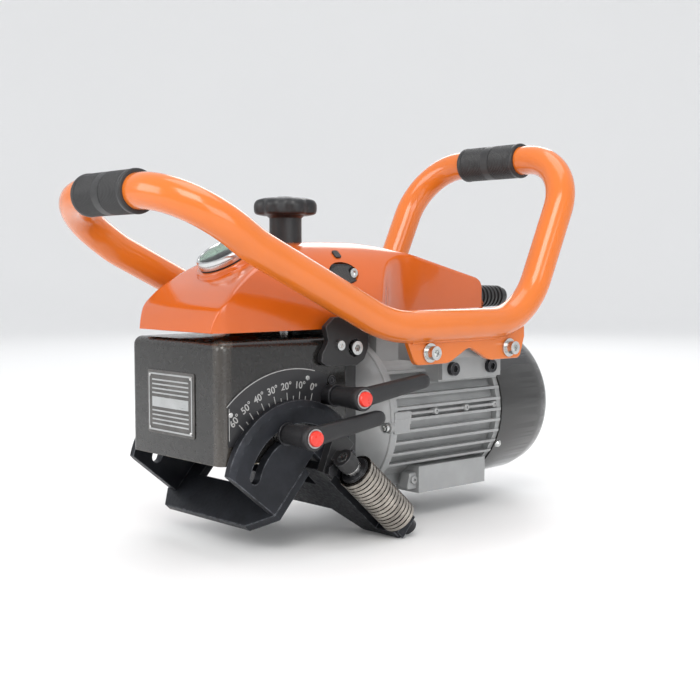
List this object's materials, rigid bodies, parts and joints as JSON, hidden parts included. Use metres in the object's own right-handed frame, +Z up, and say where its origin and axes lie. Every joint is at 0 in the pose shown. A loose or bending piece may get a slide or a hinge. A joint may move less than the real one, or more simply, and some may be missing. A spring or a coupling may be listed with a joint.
{
  "type": "plate bevelling machine",
  "caption": "Hand-held motor-driven plate edge beveller: tilting V guide with a roller, milling cutter in a sliding guarded head, depth knob, tubular handle loop.",
  "frame": {"origin": "centre of the bottom of the whole machine's box", "axes": "+Z up, +Y from the guide and front handle to the fan cover, +X towards the side with the angle scale and the clamping levers"},
  "size_m": [0.246, 0.5124, 0.378],
  "materials": {
    "guard_black": "satin black paint, rubbed bright on the front corner",
    "carriage_steel": "machined and blued steel",
    "bearing_bronze": "bronze nut and bush",
    "screw_black": "black oxide socket screws",
    "plate_grey": "anodised grey sheet, ribbed",
    "rivet_steel": "bright rivets",
    "scale_print": "black sheet with a white degree scale",
    "key_steel": "ground steel",
    "stud_steel": "zinc plated steel",
    "phosphated_steel": "dark blue-grey phosphated steel, worn on the edges",
    "roller_steel": "turned bright steel",
    "arm_black": "black paint",
    "orange_cover": "glossy moulded orange",
    "motor_silver": "silver-grey hammered paint",
    "fan_black": "satin black pressed sheet",
    "terminal_grey": "moulded terminal housing",
    "core_steel": "stacked electrical steel",
    "copper_winding": "varnished copper wire",
    "shaft_steel": "ground steel",
    "bearing_steel": "polished rings",
    "fan_plastic": "moulded black",
    "cutter_steel": "hardened tool steel",
    "carbide_gold": "coated carbide",
    "knob_black": "moulded black",
    "handle_orange": "orange powder coat",
    "grip_rubber": "ribbed black rubber",
    "bush_rubber": "moulded black rubber",
    "boot_rubber": "ribbed black rubber",
    "gland_black": "moulded black",
    "insert_black": "ribbed black insert",
    "bezel_chrome": "polished ring",
    "dial_white": "printed dial",
    "needle_black": "black",
    "gauge_glass": "clear, slightly green",
    "lever_black": "satin moulded black",
    "button_red": "glossy red",
    "zinc_bolt": "zinc plated",
    "bracket_black": "satin black",
    "bracket_steel": "grey primed steel"
  },
  "bodies": {
    "machine": {"slide_plate": "bracket_black", "screw_bush": "bearing_bronze", "drive_end_shield": "motor_silver", "motor_frame": "motor_silver", "terminal_box": "terminal_grey", "stator_core": "core_steel", "windings": "copper_winding", "rear_end_shield": "motor_silver", "shaft_bearings": "bearing_steel", "fan_cover": "fan_black", "casing_screws": "screw_black", "top_cover": "orange_cover", "cover_bracket": "bracket_steel", "cover_inserts": "insert_black", "cable_gland": "gland_black", "cable_boot": "boot_rubber", "gauge_seal": "bush_rubber", "gauge_bezel": "bezel_chrome", "gauge_dial": "dial_white", "gauge_lens": "gauge_glass", "scale_side_handle": "handle_orange", "plain_side_handle": "handle_orange", "handle_grips": "grip_rubber", "handle_carriers": "bracket_black", "pad_bolts": "screw_black", "handle_bolts": "zinc_bolt", "handle_washers": "zinc_bolt", "damper_bushes": "bush_rubber", "side_brackets": "bracket_black"},
    "head": {"head_guard": "guard_black", "slide_carriage": "carriage_steel", "depth_nut": "bearing_bronze", "guard_screws": "screw_black", "maker_plate": "plate_grey", "plate_rivets": "rivet_steel", "angle_scale": "scale_print", "sector_keys": "key_steel", "clamp_studs": "stud_steel", "clamp_washers": "stud_steel"},
    "guide": {"tilt_sectors": "phosphated_steel", "front_shoe": "phosphated_steel", "rear_guide": "phosphated_steel", "roller_arm": "arm_black", "roller_shaft": "shaft_steel", "roller_washers": "stud_steel", "roller_arm_screws": "screw_black"},
    "roller": {"guide_roller": "roller_steel"},
    "rotor": {"rotor_core": "core_steel", "motor_shaft": "shaft_steel", "cooling_fan": "fan_plastic", "cutter_body": "cutter_steel", "cutting_inserts": "carbide_gold", "cutter_screw": "screw_black"},
    "knob": {"depth_knob": "knob_black", "depth_screw": "shaft_steel"},
    "needle": {"gauge_needle": "needle_black"},
    "lower_lever": {"lower_lever": "lever_black"},
    "upper_lever": {"upper_lever": "lever_black"},
    "lower_button": {"lower_button": "button_red"},
    "upper_button": {"upper_button": "button_red"}
  },
  "joints": [
    {"name": "depth_slide", "type": "slide", "parent": "machine", "child": "head", "axis": [0, 0, 1], "range_m": [-0.005, 0.005]},
    {"name": "shoe_tilt", "type": "hinge", "parent": "head", "child": "guide", "pos_m": [0, -0.10475, 0.05547], "axis": [1, 0, 0], "range_deg": [-48, 10]},
    {"name": "roller_spin", "type": "hinge", "parent": "guide", "child": "roller", "pos_m": [0.1, -0.059, 0.06743], "axis": [0, 0.7431, -0.6691], "continuous": true},
    {"name": "rotor_spin", "type": "hinge", "parent": "machine", "child": "rotor", "pos_m": [0, -0.18075, 0.10247], "axis": [0, 1, 0], "continuous": true},
    {"name": "knob_turn", "type": "hinge", "parent": "machine", "child": "knob", "pos_m": [0, -0.05575, 0.10247], "axis": [0, 0, 1], "range_deg": [-451, 451]},
    {"name": "needle_turn", "type": "hinge", "parent": "machine", "child": "needle", "pos_m": [0, -0.12375, 0.25247], "axis": [0, -0.515, 0.8572], "range_deg": [-136, 136]},
    {"name": "lower_lever_turn", "type": "hinge", "parent": "head", "child": "lower_lever", "pos_m": [0.1, -0.11975, 0.10367], "axis": [1, 0, 0], "range_deg": [-12, 2]},
    {"name": "upper_lever_turn", "type": "hinge", "parent": "head", "child": "upper_lever", "pos_m": [0.1, -0.06425, 0.13247], "axis": [1, 0, 0], "range_deg": [-8, 0]},
    {"name": "lower_button_press", "type": "slide", "parent": "lower_lever", "child": "lower_button", "axis": [-1, 0, 0], "range_m": [0, 0.0025], "stiffness_N_per_m": 400},
    {"name": "upper_button_press", "type": "slide", "parent": "upper_lever", "child": "upper_button", "axis": [-1, 0, 0], "range_m": [0, 0.0025], "stiffness_N_per_m": 400}
  ],
  "couplings": [
    {"joint": "knob_turn", "follows": "depth_slide", "rad_per_m": -1570.8},
    {"joint": "needle_turn", "follows": "depth_slide", "rad_per_m": 471.24}
  ]
}
